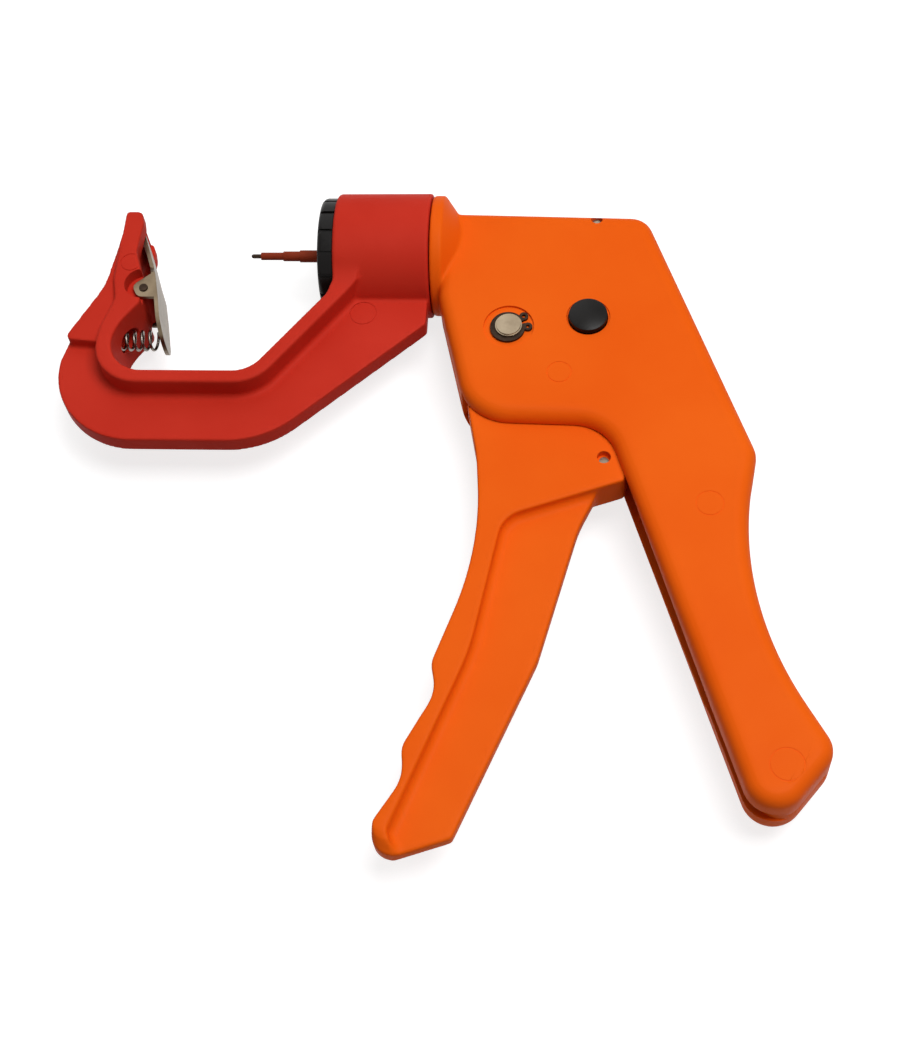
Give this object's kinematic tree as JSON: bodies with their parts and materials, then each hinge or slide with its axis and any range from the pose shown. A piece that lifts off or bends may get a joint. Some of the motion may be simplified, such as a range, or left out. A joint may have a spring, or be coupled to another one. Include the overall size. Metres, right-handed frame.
{
  "type": "ear tag pliers",
  "caption": "Pistol-shaped ear tag applicator: squeezing its trigger slides a needle through a swivelling C-shaped jaw towards a sprung clip that holds the tag.",
  "frame": {"origin": "middle of the bounding box at its lowest level, with the tool lying on its side", "axes": "+X from the needle towards the handle's back along the barrel axis, +Y from the handle's end towards the barrel, +Z out of the side that the picture shows"},
  "size_m": [0.2266, 0.214, 0.0384],
  "materials": {
    "orange_plastic": "moulded, fine satin texture",
    "red_plastic": "moulded, fine satin texture",
    "black_plastic": "satin",
    "pale_plastic": "smooth",
    "bright_steel": "ground",
    "plated_steel": "passivated, warm tint",
    "clip_steel": "rolled sheet",
    "spring_steel": "drawn wire",
    "dark_steel": "blackened",
    "coated_steel": "thin baked coat",
    "roller_steel": "hardened",
    "light_alloy": "turned",
    "bearing_bronze": "sintered"
  },
  "bodies": {
    "body": {"front_shell": "orange_plastic", "back_shell": "orange_plastic", "shell_screws": "bright_steel", "top_pin": "bright_steel", "nose_tube": "light_alloy", "ring_nut": "black_plastic", "thrust_washer": "black_plastic", "rod_bush": "bearing_bronze", "pivot_pin": "plated_steel", "front_circlip": "dark_steel", "back_circlip": "dark_steel", "pivot_washers": "pale_plastic", "cross_post": "bright_steel", "front_cap": "black_plastic", "back_cap": "black_plastic", "trigger_spring": "spring_steel", "plunger_spring": "spring_steel"},
    "trigger": {"trigger": "orange_plastic", "trigger_bush": "bearing_bronze", "wing_pin": "bright_steel", "drive_pin": "bright_steel", "drive_rollers": "roller_steel"},
    "plunger": {"plunger_rod": "bright_steel", "plunger_yoke": "light_alloy", "needle": "coated_steel", "needle_tip": "dark_steel", "needle_screw": "dark_steel"},
    "jaw": {"jaw": "red_plastic", "clip_pin": "dark_steel", "clip_spring": "spring_steel"},
    "clip": {"tag_clip": "clip_steel"}
  },
  "joints": [
    {"name": "trigger_hinge", "type": "hinge", "parent": "body", "child": "trigger", "pos_m": [0.0238, 0.05406, 0.0192], "axis": [0, 0, 1], "range_deg": [0, 32], "stiffness_Nm_per_rad": 0.5, "springref_deg": -11.46, "deforming": ["trigger_spring"]},
    {"name": "plunger_slide", "type": "slide", "parent": "body", "child": "plunger", "axis": [-1, 0, 0], "range_m": [0, 0.01895], "stiffness_N_per_m": 250, "springref_m": -0.008, "deforming": ["plunger_spring"]},
    {"name": "jaw_swivel", "type": "hinge", "parent": "body", "child": "jaw", "pos_m": [-0.01605, 0.08776, 0.0192], "axis": [1, 0, 0], "continuous": true},
    {"name": "clip_hinge", "type": "hinge", "parent": "jaw", "child": "clip", "pos_m": [-0.0894, 0.06946, 0.0192], "axis": [0, 0, -1], "range_deg": [0, 15], "stiffness_Nm_per_rad": 0.25, "springref_deg": -8.59, "deforming": ["clip_spring"]}
  ],
  "couplings": [
    {"joint": "plunger_slide", "follows": "trigger_hinge", "m_per_rad": 0.03392}
  ]
}
